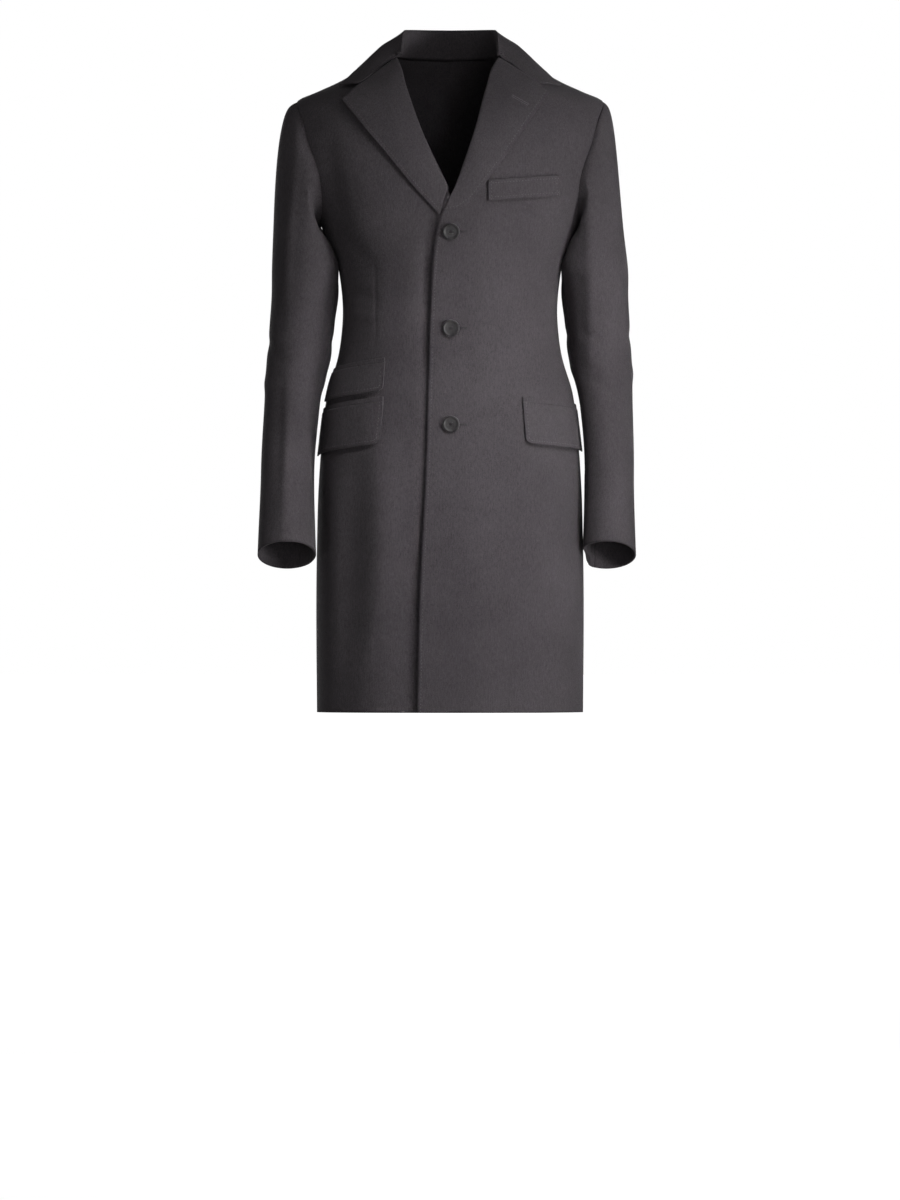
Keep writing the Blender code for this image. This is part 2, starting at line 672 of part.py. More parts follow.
def build_flap(flap, collection):
    """One pocket flap and the jetting above it."""
    def flap_surface(along, down):
        away = 1.0 - min(along / FLAP_CORNER_SHARE, 1.0)
        drop = (flap.height - FLAP_CORNER * away * away) * down
        z = flap.front_z - flap.end_drop * along - drop
        front = angle_at(flap.front_x + flap.front_lean * down, z)
        angle = mix(front, flap.end_angle, along)
        out = WALL + FLAP_CLEARANCE + FLAP_CURL * down * down
        return body_point(flap.side * angle, z, out), body_normal(flap.side * angle, z)

    def jet_surface(along, down):
        z = flap.front_z - flap.end_drop * along + SEAM_GAP + JET_HEIGHT * (1.0 - down)
        angle = mix(angle_at(flap.front_x, z), flap.end_angle, along)
        out = JET_WALL + FLAP_CLEARANCE
        return body_point(flap.side * angle, z, out), body_normal(flap.side * angle, z)
    corner = [FLAP_CORNER_SHARE * step / 3.0 for step in range(3)]
    columns = corner + [mix(FLAP_CORNER_SHARE, 1.0, share) for share in spaced(11)]
    cloth_wall(f"{flap.name}_flap", flap_surface, columns, spaced(3), collection)
    cloth_wall(f"{flap.name}_jet", jet_surface, spaced(12), spaced(1), collection, JET_WALL)


def build_welt(collection):
    """Breast welt on the left front, rising towards the armhole."""
    def surface(along, down):
        x = mix(WELT_FRONT_X, WELT_BACK_X, along)
        z = WELT_TOP_Z + WELT_RISE * along - WELT_HEIGHT * down
        return front_point(LEFT, x, z, WALL + FLAP_CLEARANCE)
    cloth_wall("chest_welt", surface, spaced(8), spaced(2), collection)


def build_button(number, z, tilt, collection, cutters):
    """One turned four-hole button with a raised rim, facing out of the left front."""
    seat, normal = front_point(LEFT, BUTTON_X, z, BUTTON_STAND)
    facing = normal.to_track_quat("Z", "Y").to_matrix().to_4x4()
    place = Matrix.Translation(seat) @ facing @ Matrix.Rotation(math.radians(tilt), 4, "X")
    dish = BUTTON_THICKNESS - BUTTON_DISH
    edge = BUTTON_THICKNESS * 0.5
    profile = (
        (0.0, dish), (BUTTON_RADIUS - BUTTON_RIM - BUTTON_RIM_SLOPE, dish),
        (BUTTON_RADIUS - BUTTON_RIM, BUTTON_THICKNESS),
        (BUTTON_RADIUS - BUTTON_EDGE_ROUND, BUTTON_THICKNESS),
        (BUTTON_RADIUS, edge), (BUTTON_RADIUS - BUTTON_FOOT_ROUND, 0.0), (0.0, 0.0),
    )
    shape = bmesh.new()
    verts = [shape.verts.new((radius, 0.0, height)) for radius, height in profile]
    for first, second in zip(verts, verts[1:]):
        shape.edges.new((first, second))
    mesh = bpy.data.meshes.new(f"button_{number}")
    shape.to_mesh(mesh)
    shape.free()
    button = add_object(f"button_{number}", mesh, collection,
                        cloth_material(f"button_{number}", BUTTON_COLOUR, BUTTON_ROUGHNESS))
    turn = button.modifiers.new("turned", "SCREW")
    turn.steps = BUTTON_STEPS
    turn.render_steps = BUTTON_STEPS
    turn.use_merge_vertices = True
    turn.merge_threshold = MERGE_DISTANCE
    for step in range(4):
        around = math.radians(45.0 + 90.0 * step)
        hole_data = bmesh.new()
        bmesh.ops.create_cone(hole_data, cap_ends=True, segments=8, radius1=HOLE_RADIUS,
                              radius2=HOLE_RADIUS, depth=4.0 * BUTTON_THICKNESS)
        reach = HOLE_OFFSET * math.sqrt(2.0)
        shift = Vector((reach * math.cos(around), reach * math.sin(around), 0.0))
        bmesh.ops.translate(hole_data, verts=list(hole_data.verts), vec=shift)
        hole_mesh = bpy.data.meshes.new(f"button_{number}_hole_{step + 1}")
        hole_data.to_mesh(hole_mesh)
        hole_data.free()
        hole = bpy.data.objects.new(hole_mesh.name, hole_mesh)
        cutters.objects.link(hole)
        hole.hide_render = True
        hole.display_type = "WIRE"
        hole.matrix_world = place
        cut = button.modifiers.new(f"hole_{step + 1}", "BOOLEAN")
        cut.operation = "DIFFERENCE"
        cut.object = hole
    button.matrix_world = place


def clear_scene():
    """Remove whatever the scene holds."""
    for item in list(bpy.data.objects):
        bpy.data.objects.remove(item, do_unlink=True)


def main():
    """Build every piece of the coat."""
    clear_scene()
    collection = bpy.data.collections.new(COAT)
    cutters = bpy.data.collections.new("cutters")
    for group in (collection, cutters):
        bpy.context.scene.collection.children.link(group)
    for side, word in ((LEFT, "left"), (RIGHT, "right")):
        build_front(side, f"{word}_front", collection)
        build_back(side, f"{word}_back", collection)
        build_sleeve_piece(side, f"{word}_top_sleeve", FRONT_SLEEVE_SEAM,
                           360.0 + HIND_SLEEVE_SEAM, TOP_SLEEVE_COLUMNS, collection)
        build_sleeve_piece(side, f"{word}_under_sleeve", HIND_SLEEVE_SEAM,
                           FRONT_SLEEVE_SEAM, UNDER_SLEEVE_COLUMNS, collection)
        build_lapel(side, f"{word}_lapel", collection)
    build_collar(collection)
    build_welt(collection)
    for flap in FLAPS:
        build_flap(flap, collection)
    for number, (z, tilt) in enumerate(zip(BUTTON_HEIGHTS, BUTTON_TILTS), start=1):
        build_button(number, z, tilt, collection, cutters)


main()
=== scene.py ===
"""Looks of a single-breasted wool topcoat: cloth shells, sewing, buttons and a plain studio.

Each sub-assembly is a class with its own sizes. Metres, +Z up, front towards -Y, wearer's left at +X.
"""
import logging
import math
from dataclasses import dataclass, field
from enum import Enum

import bmesh
import bpy
import numpy as np
from mathutils import Matrix, Vector
from mathutils.bvhtree import BVHTree


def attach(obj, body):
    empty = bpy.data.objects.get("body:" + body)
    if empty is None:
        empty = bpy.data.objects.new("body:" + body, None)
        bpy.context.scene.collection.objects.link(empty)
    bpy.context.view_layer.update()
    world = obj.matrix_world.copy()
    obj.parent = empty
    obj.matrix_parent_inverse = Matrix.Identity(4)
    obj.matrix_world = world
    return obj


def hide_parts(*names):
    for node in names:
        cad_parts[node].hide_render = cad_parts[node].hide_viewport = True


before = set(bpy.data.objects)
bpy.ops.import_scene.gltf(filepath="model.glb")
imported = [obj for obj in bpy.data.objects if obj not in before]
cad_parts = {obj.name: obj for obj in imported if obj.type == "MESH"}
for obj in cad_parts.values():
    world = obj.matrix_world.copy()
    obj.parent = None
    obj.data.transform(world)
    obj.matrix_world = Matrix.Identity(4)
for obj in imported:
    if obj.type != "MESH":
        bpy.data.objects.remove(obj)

LOG = logging.getLogger("topcoat")
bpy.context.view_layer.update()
BODY = "root"
MERGE = 0.000005
CLOSE = 0.00017
CAP_CLOSE = 0.0011
ARMHOLE_LOW = -0.232
QUAD_ANGLE = math.radians(35.0)
ANY_SHAPE = math.radians(180.0)
CRISP_ANGLE = math.radians(28.0)
TURNED_ANGLE = math.radians(38.0)


class Facing(Enum):
    """Which way the cloth under a crease looks."""

    FRONT = "front"
    BACK = "back"
    SIDE = "side"


@dataclass(frozen=True)
class Crease:
    """A soft trough or ridge in the cloth.

    Start and end are (across, height): across is x for front and back, and y for a side.
    A positive depth is a ridge and a negative one a trough.
    """

    start: tuple[float, float]
    end: tuple[float, float]
    half_width: float
    depth: float
    facing: Facing = Facing.FRONT
    bow: float = 0.0

    def lift(self, points: np.ndarray, normals: np.ndarray) -> np.ndarray:
        """Work out how far the crease moves each point.

        Args:
            points: Places of the cloth's points.
            normals: Directions out of the cloth at those points.

        Returns:
            One distance for each point.
        """
        column = 1 if self.facing is Facing.SIDE else 0
        flat = points[:, [column, 2]]
        start = np.array(self.start)
        along = np.array(self.end) - start
        length = float(np.hypot(*along))
        along /= length
        side = np.array([-along[1], along[0]])
        share = ((flat - start) @ along) / length
        away = (flat - start) @ side - self.bow * 4.0 * share * (1.0 - share)
        taper = np.clip(np.sin(np.pi * np.clip(share, 0.0, 1.0)), 0.0, 1.0) ** 0.7
        look = {
            Facing.FRONT: -normals[:, 1],
            Facing.BACK: normals[:, 1],
            Facing.SIDE: np.abs(normals[:, 0]),
        }[self.facing]
        weight = np.clip((look + 0.05) / 0.45, 0.0, 1.0)
        return self.depth * np.exp(-((away / self.half_width) ** 2)) * taper * weight


class NodeGroups:
    """Shader effects that more than one finish uses, each built once."""

    @staticmethod
    def start(name: str, inputs: dict[str, float], outputs: dict[str, str]) -> bpy.types.NodeTree:
        """Make an empty group with its sockets.

        Args:
            name: Name of the group.
            inputs: Input names with their default values.
            outputs: Output names with their socket types.

        Returns:
            The new group.
        """
        group = bpy.data.node_groups.new(name, "ShaderNodeTree")
        group.interface.new_socket("Vector", in_out="INPUT", socket_type="NodeSocketVector")
        for label, value in inputs.items():
            socket = group.interface.new_socket(label, in_out="INPUT", socket_type="NodeSocketFloat")
            socket.default_value = value
        for label, kind in outputs.items():
            group.interface.new_socket(label, in_out="OUTPUT", socket_type=kind)
        return group

    @classmethod
    def heather(cls) -> bpy.types.NodeTree:
        """Fibre melange of brushed wool: a light and dark mask, a nap height and a slow cloud.

        Returns:
            The group.
        """
        name = "wool_heather"
        if name in bpy.data.node_groups:
            return bpy.data.node_groups[name]
        outputs = {label: "NodeSocketFloat" for label in ("Mask", "Height", "Cloud")}
        group = cls.start(name, {"Scale": 900.0, "Stretch": 0.35}, outputs)
        nodes = group.nodes
        links = group.links
        source = nodes.new("NodeGroupInput")
        target = nodes.new("NodeGroupOutput")
        fibre = cls.noise(nodes, 2.0, 0.62)
        links.new(source.outputs["Vector"], fibre.inputs["Vector"])
        links.new(source.outputs["Scale"], fibre.inputs["Scale"])
        squeeze = nodes.new("ShaderNodeVectorMath")
        squeeze.operation = "MULTIPLY"
        squeeze.inputs[1].default_value = (1.0, 1.0, 0.22)
        links.new(source.outputs["Vector"], squeeze.inputs[0])
        streak = cls.noise(nodes, 2.0, 0.5)
        half = cls.math(nodes, "MULTIPLY", 0.55)
        links.new(source.outputs["Scale"], half.inputs[0])
        links.new(squeeze.outputs[0], streak.inputs["Vector"])
        links.new(half.outputs[0], streak.inputs["Scale"])
        cloud = cls.noise(nodes, 3.0, 0.5)
        cloud.inputs["Scale"].default_value = 9.0
        links.new(source.outputs["Vector"], cloud.inputs["Vector"])
        blend = nodes.new("ShaderNodeMix")
        links.new(source.outputs["Stretch"], blend.inputs["Factor"])
        links.new(fibre.outputs["Fac"], blend.inputs["A"])
        links.new(streak.outputs["Fac"], blend.inputs["B"])
        links.new(blend.outputs["Result"], target.inputs["Mask"])
        links.new(fibre.outputs["Fac"], target.inputs["Height"])
        links.new(cloud.outputs["Fac"], target.inputs["Cloud"])
        return group

    @staticmethod
    def noise(nodes: bpy.types.Nodes, detail: float, roughness: float) -> bpy.types.Node:
        """Add a noise texture.

        Args:
            nodes: Where it is added.
            detail: Its octaves.
            roughness: How strong the finer octaves are.

        Returns:
            The new node.
        """
        node = nodes.new("ShaderNodeTexNoise")
        node.inputs["Detail"].default_value = detail
        node.inputs["Roughness"].default_value = roughness
        return node

    @staticmethod
    def math(nodes: bpy.types.Nodes, operation: str, value: float) -> bpy.types.Node:
        """Add a math node.

        Args:
            nodes: Where it is added.
            operation: What it works out.
            value: Its fixed second value.

        Returns:
            The new node.
        """
        node = nodes.new("ShaderNodeMath")
        node.operation = operation
        node.inputs[1].default_value = value
        return node


@dataclass(frozen=True)
class Finish:
    """Base of every finish: a named Principled material with a heather pattern.

    The two colours are linear, for the dark and the light fibres.
    """

    name: str
    dark: tuple[float, float, float]
    light: tuple[float, float, float]
    roughness: float
    scale: float
    stretch: float
    bump: float
    sheen: float = 0.0
    specular: float = 0.3
    cloudiness: float = 0.12
    contrast: float = 0.16

    def material(self) -> bpy.types.Material:
        """Build the finish once and hand it out afterwards.

        Returns:
            The finish's material.
        """
        if self.name in bpy.data.materials:
            return bpy.data.materials[self.name]
        made = bpy.data.materials.new(self.name)
        made.use_nodes = True
        nodes = made.node_tree.nodes
        links = made.node_tree.links
        shader = nodes["Principled BSDF"]
        place = nodes.new("ShaderNodeTexCoord")
        heather = nodes.new("ShaderNodeGroup")
        heather.node_tree = NodeGroups.heather()
        heather.inputs["Scale"].default_value = self.scale
        heather.inputs["Stretch"].default_value = self.stretch
        links.new(place.outputs["Object"], heather.inputs["Vector"])
        ramp = nodes.new("ShaderNodeValToRGB")
        ramp.color_ramp.elements[0].position = 0.5 - self.contrast
        ramp.color_ramp.elements[1].position = 0.5 + self.contrast
        ramp.color_ramp.elements[0].color = (*self.dark, 1.0)
        ramp.color_ramp.elements[1].color = (*self.light, 1.0)
        links.new(heather.outputs["Mask"], ramp.inputs["Fac"])
        tone = nodes.new("ShaderNodeMapRange")
        tone.inputs["From Min"].default_value = 0.3
        tone.inputs["From Max"].default_value = 0.7
        tone.inputs["To Min"].default_value = 1.0 - self.cloudiness
        tone.inputs["To Max"].default_value = 1.0 + self.cloudiness
        links.new(heather.outputs["Cloud"], tone.inputs["Value"])
        shade = nodes.new("ShaderNodeVectorMath")
        shade.operation = "SCALE"
        links.new(ramp.outputs["Color"], shade.inputs[0])
        links.new(tone.outputs["Result"], shade.inputs["Scale"])
        links.new(shade.outputs["Vector"], shader.inputs["Base Color"])
        bump = nodes.new("ShaderNodeBump")
        bump.inputs["Strength"].default_value = 1.0
        bump.inputs["Distance"].default_value = self.bump
        links.new(heather.outputs["Height"], bump.inputs["Height"])
        links.new(bump.outputs["Normal"], shader.inputs["Normal"])
        shader.inputs["Roughness"].default_value = self.roughness
        shader.inputs["Specular IOR Level"].default_value = self.specular
        shader.inputs["Sheen Weight"].default_value = self.sheen
        shader.inputs["Sheen Roughness"].default_value = 0.45
        shader.inputs["Sheen Tint"].default_value = (0.62, 0.60, 0.62, 1.0)
        return made


WOOL = Finish("brushed_wool", (0.046, 0.041, 0.045), (0.104, 0.093, 0.101), 0.95, 1250.0, 0.30,
              0.00030, sheen=0.10, specular=0.12, contrast=0.15)
# Lining cloth on the shells' inner faces; the same dark finish also makes the painted shade strip along each
# buttonhole's cut.
LINING_AND_BUTTONHOLE_SHADE = Finish("twill_lining_and_buttonhole_shade", (0.018, 0.017, 0.019), (0.026, 0.025, 0.027), 0.55, 1600.0, 0.9,
                0.00005, sheen=0.0, specular=0.3)
HORN = Finish("dark_horn", (0.018, 0.016, 0.017), (0.052, 0.048, 0.050), 0.34, 210.0, 0.5,
              0.00002, specular=0.5, cloudiness=0.2)
THREAD = Finish("dark_thread", (0.030, 0.027, 0.029), (0.060, 0.054, 0.058), 0.8, 2400.0, 0.2,
                0.00005, sheen=0.1, specular=0.2)
PICK_THREAD = Finish("edge_thread", (0.105, 0.097, 0.102), (0.190, 0.176, 0.185), 0.8, 2400.0, 0.2,
                     0.00005, sheen=0.1, specular=0.2)


@dataclass(frozen=True)
class RimEdge:
    """One edge of a cloth piece's outline, with the ways its rim and its outer face look."""

    ends: tuple[Vector, Vector]
    rim: Vector
    cloth: Vector


@dataclass
class Shell:
    """Thin cloth shell on the form of one CAD wall, smoothed and creased."""

    node: str
    flat: tuple[float, float]
    area: float
    levels: int = 2
    creases: tuple[Crease, ...] = ()
    lined: bool = False
    rim_crease: float = 0.75
    sharp_angle: float = 48.0
    seam_growth: float = 0.0
    cap_growth: float = 0.0
    crisp: bool = False
    held: str = "hung"
    piece: bpy.types.Object | None = field(default=None, repr=False)
    outline: list[RimEdge] = field(default_factory=list, repr=False)

    def build(self) -> bpy.types.Object:
        """Copy the wall, smooth it and press the creases in.

        Returns:
            The shell's object.
        """
        work = self.quads()
        crease_layer = work.edges.layers.float.new("crease_edge")
        for edge in work.edges:
            if len(edge.link_faces) == 2 and edge.calc_face_angle() > math.radians(self.sharp_angle):
                edge[crease_layer] = self.rim_crease
                edge.seam = True
        self.sort_faces(work)
        draft_mesh = bpy.data.meshes.new(f"{self.node}_draft")
        work.to_mesh(draft_mesh)
        work.free()
        draft = bpy.data.objects.new(f"{self.node}_draft", draft_mesh)
        bpy.context.scene.collection.objects.link(draft)
        smooth = draft.modifiers.new("smooth", "SUBSURF")
        smooth.levels = self.levels
        smooth.render_levels = self.levels
        smooth.use_limit_surface = False
        self.fit(draft)
        final = self.evaluated(draft)
        bpy.data.objects.remove(draft)
        final.name = f"{self.node}_cloth"
        final.shade_smooth()
        if self.crisp:
            final.set_sharp_from_angle(angle=CRISP_ANGLE)
        self.press(final)
        self.piece = bpy.data.objects.new(f"{self.node}_cloth", final)
        bpy.context.scene.collection.objects.link(self.piece)
        return self.piece

    @staticmethod
    def evaluated(draft: bpy.types.Object) -> bpy.types.Mesh:
        """Apply an object's modifiers.

        Args:
            draft: The object.

        Returns:
            A new mesh with the modifiers applied.
        """
        graph = bpy.context.evaluated_depsgraph_get()
        graph.update()
        return bpy.data.meshes.new_from_object(draft.evaluated_get(graph))

    def fit(self, draft: bpy.types.Object, rounds: int = 4) -> None:
        """Move the coarse points until the smooth surface passes through the CAD wall's points.

        Args:
            draft: The coarse wall with its smoothing modifier.
            rounds: How often the points are corrected.
        """
        count = len(draft.data.vertices)
        wanted = np.empty(count * 3)
        draft.data.vertices.foreach_get("co", wanted)
        coarse = wanted.copy()
        for _ in range(rounds):
            smoothed = self.evaluated(draft)
            reached = np.empty(len(smoothed.vertices) * 3)
            smoothed.vertices.foreach_get("co", reached)
            bpy.data.meshes.remove(smoothed)
            coarse += wanted - reached[:count * 3]
            draft.data.vertices.foreach_set("co", coarse)
            draft.data.update()

    def quads(self) -> bmesh.types.BMesh:
        """Copy the CAD wall as welded quads.

        Returns:
            The copy, open for edits.
        """
        work = bmesh.new()
        work.from_mesh(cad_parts[self.node].data)
        bmesh.ops.remove_doubles(work, verts=work.verts, dist=MERGE)
        bmesh.ops.join_triangles(work, faces=work.faces, angle_face_threshold=QUAD_ANGLE,
                                 angle_shape_threshold=ANY_SHAPE)
        return work

    def patches(self, work: bmesh.types.BMesh) -> list[list[bmesh.types.BMFace]]:
        """Group the faces between the marked seams.

        Args:
            work: The shell, with its rims marked as seams.

        Returns:
            The groups, the largest first: the two faces of the cloth, and then its rims.
        """
        left = set(work.faces)
        groups = []
        for seed in work.faces:
            if seed not in left:
                continue
            left.discard(seed)
            group = [seed]
            for face in group:
                for edge in face.edges:
                    for other in edge.link_faces:
                        if not edge.seam and other in left:
                            left.discard(other)
                            group.append(other)
            groups.append(group)
        return sorted(groups, key=lambda group: -sum(face.calc_area() for face in group))

    def sort_faces(self, work: bmesh.types.BMesh) -> None:
        """Tell the outside, the inside and the rims apart, keep the outline and close the seams.

        Args:
            work: The shell, with its rims marked as seams.
        """
        groups = self.patches(work)
        facing = [sum(face.normal.dot(self.from_axis(face.calc_center_median())) * face.calc_area()
                      for face in group) for group in groups[:2]]
        inside = groups[1] if facing[0] > facing[1] else groups[0]
        outside = set(groups[0] if facing[0] > facing[1] else groups[1])
        rims = {face for group in groups[2:] for face in group}
        if self.lined:
            for face in inside:
                face.material_index = 1
        for edge in work.edges:
            faces = set(edge.link_faces)
            if len(faces & outside) == 1 and len(faces & rims) == 1:
                rim = (faces & rims).pop()
                cloth = (faces & outside).pop()
                ends = (edge.verts[0].co.copy(), edge.verts[1].co.copy())
                self.outline.append(RimEdge(ends, rim.normal.copy(), cloth.normal.copy()))
        for vert in work.verts:
            pull = sum((face.normal for face in vert.link_faces if face in rims), Vector())
            if pull.length > 0.0:
                way = pull.normalized()
                at_armhole = vert.co.z > ARMHOLE_LOW and way.x * math.copysign(1.0, vert.co.x) < -0.2
                vert.co += way * (self.cap_growth if at_armhole else self.seam_growth)

    def from_axis(self, point: Vector) -> Vector:
        """Find the direction out of the tube that the cloth goes round, at a point's height.

        Args:
            point: A place on the cloth.

        Returns:
            The way from the tube's middle to the point.
        """
        if "sleeve" not in self.node:
            return Vector((point.x, point.y, 0.0))
        side = 1.0 if self.node.startswith("left") else -1.0
        share = min(max((-0.30 - point.z) / 0.42, 0.0), 1.0)
        middle = Vector((side * (0.212 + 0.022 * share), 0.008 - 0.062 * share * share, point.z))
        return point - middle

    def press(self, mesh: bpy.types.Mesh) -> None:
        """Press the creases into the smoothed shell.

        Args:
            mesh: The shell's mesh.
        """
        if not self.creases:
            return
        count = len(mesh.vertices)
        points = np.empty(count * 3)
        normals = np.empty(count * 3)
        mesh.vertices.foreach_get("co", points)
        mesh.vertex_normals.foreach_get("vector", normals)
        points = points.reshape(-1, 3)
        normals = normals.reshape(-1, 3)
        axis = np.array([self.from_axis(Vector(point)) for point in points])
        outward = np.sign((normals * axis).sum(axis=1))[:, None] * normals
        lift = sum(crease.lift(points, outward) for crease in self.creases)
        mesh.vertices.foreach_set("co", (points + outward * lift[:, None]).ravel())
        mesh.update()

    def dress(self) -> None:
        """Give the shell its finish, hide the CAD wall it replaces and hang it on the body's empty."""
        self.piece.data.materials.clear()
        self.piece.data.materials.append(WOOL.material())
        if self.lined:
            self.piece.data.materials.append(LINING_AND_BUTTONHOLE_SHADE.material())
        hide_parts(self.node)
        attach(self.piece, BODY)


class ClothProbe:
    """Finds places on the finished cloth."""

    def __init__(self, shells: list[Shell]) -> None:
        """Index every shell.

        Args:
            shells: The finished shells.
        """
        self.shells = {shell.node: shell for shell in shells}
        self.trees = {shell.node: self.tree(shell.piece.data) for shell in shells}

    @staticmethod
    def tree(mesh: bpy.types.Mesh) -> BVHTree:
        """Search tree of a mesh."""
        points = [vert.co.copy() for vert in mesh.vertices]
        return BVHTree.FromPolygons(points, [tuple(face.vertices) for face in mesh.polygons])

    def from_front(self, node: str, x: float, z: float) -> tuple[Vector, Vector]:
        """First place on a piece that a level line from the front meets.

        Args:
            node: The piece's CAD node.
            x: Distance from the centre line.
            z: Height.

        Returns:
            The place and the direction out of the cloth.
        """
        place, normal, _, _ = self.trees[node].ray_cast(Vector((x, -1.0, z)), Vector((0.0, 1.0, 0.0)))
        return place, normal

    def nearest(self, node: str, point: Vector) -> tuple[Vector, Vector]:
        """Place on a piece nearest to a point, and the direction out of the cloth there."""
        place, normal, _, _ = self.trees[node].find_nearest(point)
        return place, normal


@dataclass
class ThreadWork:
    """Gathers short threads and longer strands into one piece."""

    name: str
    finish: Finish
    work: bmesh.types.BMesh = field(default_factory=bmesh.new, repr=False)

    def bead(self, place: Vector, along: Vector, normal: Vector, size: tuple[float, float, float]) -> None:
        """Add one short thread that lies on the cloth.

        Args:
            place: Its middle.
            along: Its direction.
            normal: The direction out of the cloth.
            size: Half length, half width and half height.
        """
        up = normal.normalized()
        forward = (along - up * along.dot(up)).normalized()
        turn = Matrix((forward, up.cross(forward), up)).transposed().to_4x4()
        spread = Matrix.Diagonal((*size, 1.0))
        bmesh.ops.create_icosphere(self.work, subdivisions=1, radius=1.0,
                                   matrix=Matrix.Translation(place) @ turn @ spread)

    def strand(self, path: list[Vector], radius: float, sides: int = 8) -> None:
        """Add one round strand along a path.

        Args:
            path: Points of its middle line.
            radius: Half its thickness.
            sides: Flats round it.
        """
        grid = bmesh.ops.create_grid(self.work, x_segments=len(path) - 1, y_segments=sides, size=1.0)
        for vert in grid["verts"]:
            step = round((vert.co.x + 1.0) / 2.0 * (len(path) - 1))
            turn = math.pi * (vert.co.y + 1.0)
            ahead = (path[min(step + 1, len(path) - 1)] - path[max(step - 1, 0)]).normalized()
            across = ahead.orthogonal().normalized()
            over = ahead.cross(across)
            vert.co = path[step] + radius * (across * math.cos(turn) + over * math.sin(turn))
        bmesh.ops.remove_doubles(self.work, verts=grid["verts"], dist=MERGE)

    def finish_piece(self) -> bpy.types.Object:
        """Turn the threads into a piece of the coat.

        Returns:
            The piece.
        """
        bmesh.ops.recalc_face_normals(self.work, faces=self.work.faces)
        mesh = bpy.data.meshes.new(self.name)
        self.work.to_mesh(mesh)
        self.work.free()
        mesh.shade_smooth()
        mesh.materials.append(self.finish.material())
        piece = bpy.data.objects.new(self.name, mesh)
        bpy.context.scene.collection.objects.link(piece)
        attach(piece, BODY)
        return piece


class EdgeSide(Enum):
    """Which edges of a piece are stitched."""

    FRONT = "front edge below the break"
    FREE = "edges that hang free"
    FALL = "lower edge and ends of the collar"
    ALL = "all edges"

    def takes(self, edge: RimEdge) -> bool:
        """Say whether an edge is one of them.

        Args:
            edge: An edge of the piece's outline.

        Returns:
            True where the edge is stitched.
        """
        middle = (edge.ends[0] + edge.ends[1]) * 0.5
        outward = edge.cloth.dot(Vector((middle.x, middle.y, 0.05))) > 0.0
        if self is EdgeSide.FRONT:
            return outward and edge.rim.x < -0.5 and middle.z < -0.23 and abs(middle.x) < 0.08
        if self is EdgeSide.FREE:
            return outward and edge.rim.z < 0.6
        if self is EdgeSide.FALL:
            return outward and edge.rim.z < 0.3
        return outward


@dataclass
class EdgeStitching:
    """Pick stitches a little way in from the edges of the coat's pieces."""

    pieces: dict[str, EdgeSide]
    inset: float = 0.0050
    pitch: float = 0.0048
    half_length: float = 0.0011
    half_width: float = 0.00036
    flatness: float = 0.8
    search_lift: float = 0.001
    least_facing: float = 0.3

    def build(self, probe: ClothProbe) -> None:
        """Sew every edge.

        Args:
            probe: The finished cloth.
        """
        for node, side in self.pieces.items():
            threads = ThreadWork(f"{node}_pick_stitches", PICK_THREAD)
            for edge in probe.shells[node].outline:
                if side.takes(edge):
                    self.sew(threads, probe, node, edge)
            threads.finish_piece()

    def sew(self, threads: ThreadWork, probe: ClothProbe, node: str, edge: RimEdge) -> None:
        """Sew along one edge.

        Args:
            threads: Where the stitches are gathered.
            probe: The finished cloth.
            node: The piece.
            edge: The edge.
        """
        along = edge.ends[1] - edge.ends[0]
        count = max(1, round(along.length / self.pitch))
        for step in range(count):
            wanted = edge.ends[0] + along * ((step + 0.5) / count) - edge.rim * self.inset
            place, normal = probe.nearest(node, wanted + edge.cloth * self.search_lift)
            if normal.dot(edge.cloth) < self.least_facing:
                continue
            size = (self.half_length, self.half_width, self.half_width * self.flatness)
            threads.bead(place, along, normal, size)


@dataclass
class Buttonhole:
    """Worked buttonhole: a row of purl bars round the cut, with a dark strip of painted shade laid along the
    cut where the opening would be in shade.
    """

    name: str
    node: str
    start: tuple[float, float]
    end: tuple[float, float]
    bar_pitch: float = 0.00058
    bar_half: float = 0.00085
    bar_radius: float = 0.00030
    slit_half: float = 0.00028
    # Half height of the dark strip along the cut, which is painted shade for the buttonhole's opening.
    shade_strip_height: float = 0.00012
    thread: Finish = THREAD

    def build(self, probe: ClothProbe) -> None:
        """Work the hole on the cloth.

        Args:
            probe: The finished cloth.
        """
        bars = ThreadWork(f"{self.name}_bars", self.thread)
        # The dark beads along the cut are painted shade: no opening is cut into the cloth, so they stand in
        # for the shade inside it.
        opening_shade = ThreadWork(f"{self.name}_slit", LINING_AND_BUTTONHOLE_SHADE)
        length = math.dist(self.start, self.end)
        count = round(length / self.bar_pitch)
        across = Vector((-(self.end[1] - self.start[1]), 0.0, self.end[0] - self.start[0])).normalized()
        along = Vector((self.end[0] - self.start[0], 0.0, self.end[1] - self.start[1])).normalized()
        for step in range(count + 1):
            share = step / count
            x = self.start[0] + (self.end[0] - self.start[0]) * share
            z = self.start[1] + (self.end[1] - self.start[1]) * share
            for way in (-1.0, 1.0):
                shift = across * way * (self.slit_half + self.bar_half)
                place, normal = probe.from_front(self.node, x + shift.x, z + shift.z)
                bars.bead(place, across, normal, (self.bar_half, self.bar_radius, self.bar_radius))
            place, normal = probe.from_front(self.node, x, z)
            # One bead of the painted shade along the cut.
            opening_shade.bead(place, along, normal, (self.bar_pitch, self.slit_half, self.shade_strip_height))
        for tip in (self.start, self.end):
            for step in (-1.0, 0.0, 1.0):
                shift = across * step * self.bar_half
                place, normal = probe.from_front(self.node, tip[0] + shift.x, tip[1] + shift.z)
                bars.bead(place, along, normal, (self.bar_half, self.bar_radius, self.bar_radius))
        bars.finish_piece()
        opening_shade.finish_piece()


